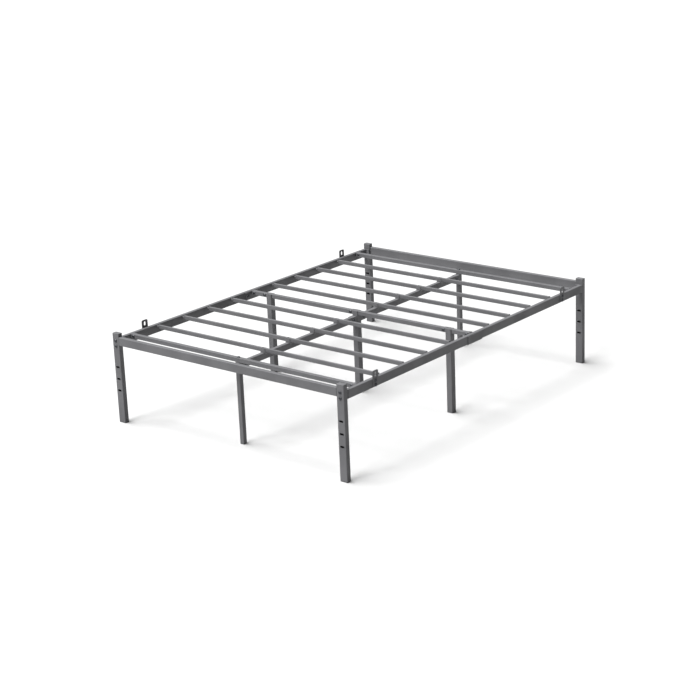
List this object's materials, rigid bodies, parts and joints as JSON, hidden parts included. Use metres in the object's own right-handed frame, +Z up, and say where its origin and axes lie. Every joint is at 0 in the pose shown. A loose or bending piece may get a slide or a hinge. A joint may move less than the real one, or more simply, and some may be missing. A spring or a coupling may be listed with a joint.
{
  "type": "metal bed frame",
  "caption": "Bolted steel platform bed frame with low end rails, crosswise tube slats, a centre beam, inner support legs and slotted corner legs for a headboard.",
  "frame": {"origin": "on the floor, under the middle of the frame", "axes": "+X to the right as seen from the foot end, +Y from the foot end to the head end, +Z up"},
  "size_m": [1.395, 1.914, 0.447],
  "materials": {
    "powder_coat": "dark grey fine-texture powder coat on drawn steel tube",
    "joiner_steel": "thin black dip coat on the tubes inside the rail joints",
    "grey_plastic": "moulded dark grey polyethylene, fine grain",
    "grey_nylon": "moulded dark grey nylon, satin",
    "black_zinc": "black zinc plated steel fasteners, satin"
  },
  "bodies": {
    "root": {"corner_leg_foot_left": "powder_coat", "corner_leg_foot_right": "powder_coat", "corner_leg_head_left": "powder_coat", "corner_leg_head_right": "powder_coat", "end_rail_foot": "powder_coat", "end_rail_head": "powder_coat", "side_rail_foot_left": "powder_coat", "side_rail_foot_right": "powder_coat", "side_rail_head_left": "powder_coat", "side_rail_head_right": "powder_coat", "rail_sleeve_left": "powder_coat", "rail_sleeve_right": "powder_coat", "rail_joiners": "joiner_steel", "crossbar_foot": "powder_coat", "crossbar_head": "powder_coat", "crossbar_ears": "powder_coat", "mid_bar_left_outer": "powder_coat", "mid_bar_left_inner": "powder_coat", "mid_bar_right_inner": "powder_coat", "mid_bar_right_outer": "powder_coat", "mid_socket_left": "powder_coat", "mid_socket_centre": "powder_coat", "mid_socket_right": "powder_coat", "mid_leg_left": "powder_coat", "mid_leg_centre": "powder_coat", "mid_leg_right": "powder_coat", "end_leg_foot": "powder_coat", "end_leg_head": "powder_coat", "centre_beam_foot": "powder_coat", "centre_beam_head": "powder_coat", "beam_brackets": "powder_coat", "slat_left_1": "powder_coat", "slat_left_2": "powder_coat", "slat_left_3": "powder_coat", "slat_left_4": "powder_coat", "slat_left_5": "powder_coat", "slat_left_6": "powder_coat", "slat_left_7": "powder_coat", "slat_left_8": "powder_coat", "slat_right_1": "powder_coat", "slat_right_2": "powder_coat", "slat_right_3": "powder_coat", "slat_right_4": "powder_coat", "slat_right_5": "powder_coat", "slat_right_6": "powder_coat", "slat_right_7": "powder_coat", "slat_right_8": "powder_coat", "slat_plugs": "grey_nylon", "slat_holders": "grey_nylon", "retainer_foot_left": "powder_coat", "retainer_foot_right": "powder_coat", "retainer_head_left": "powder_coat", "retainer_head_right": "powder_coat", "corner_leg_caps": "grey_plastic", "corner_leg_glides": "grey_plastic", "inner_leg_glides": "grey_plastic", "leg_bolts": "black_zinc", "bar_bolts": "black_zinc", "short_bolts": "black_zinc", "bar_nuts": "black_zinc"}
  },
  "joints": []
}
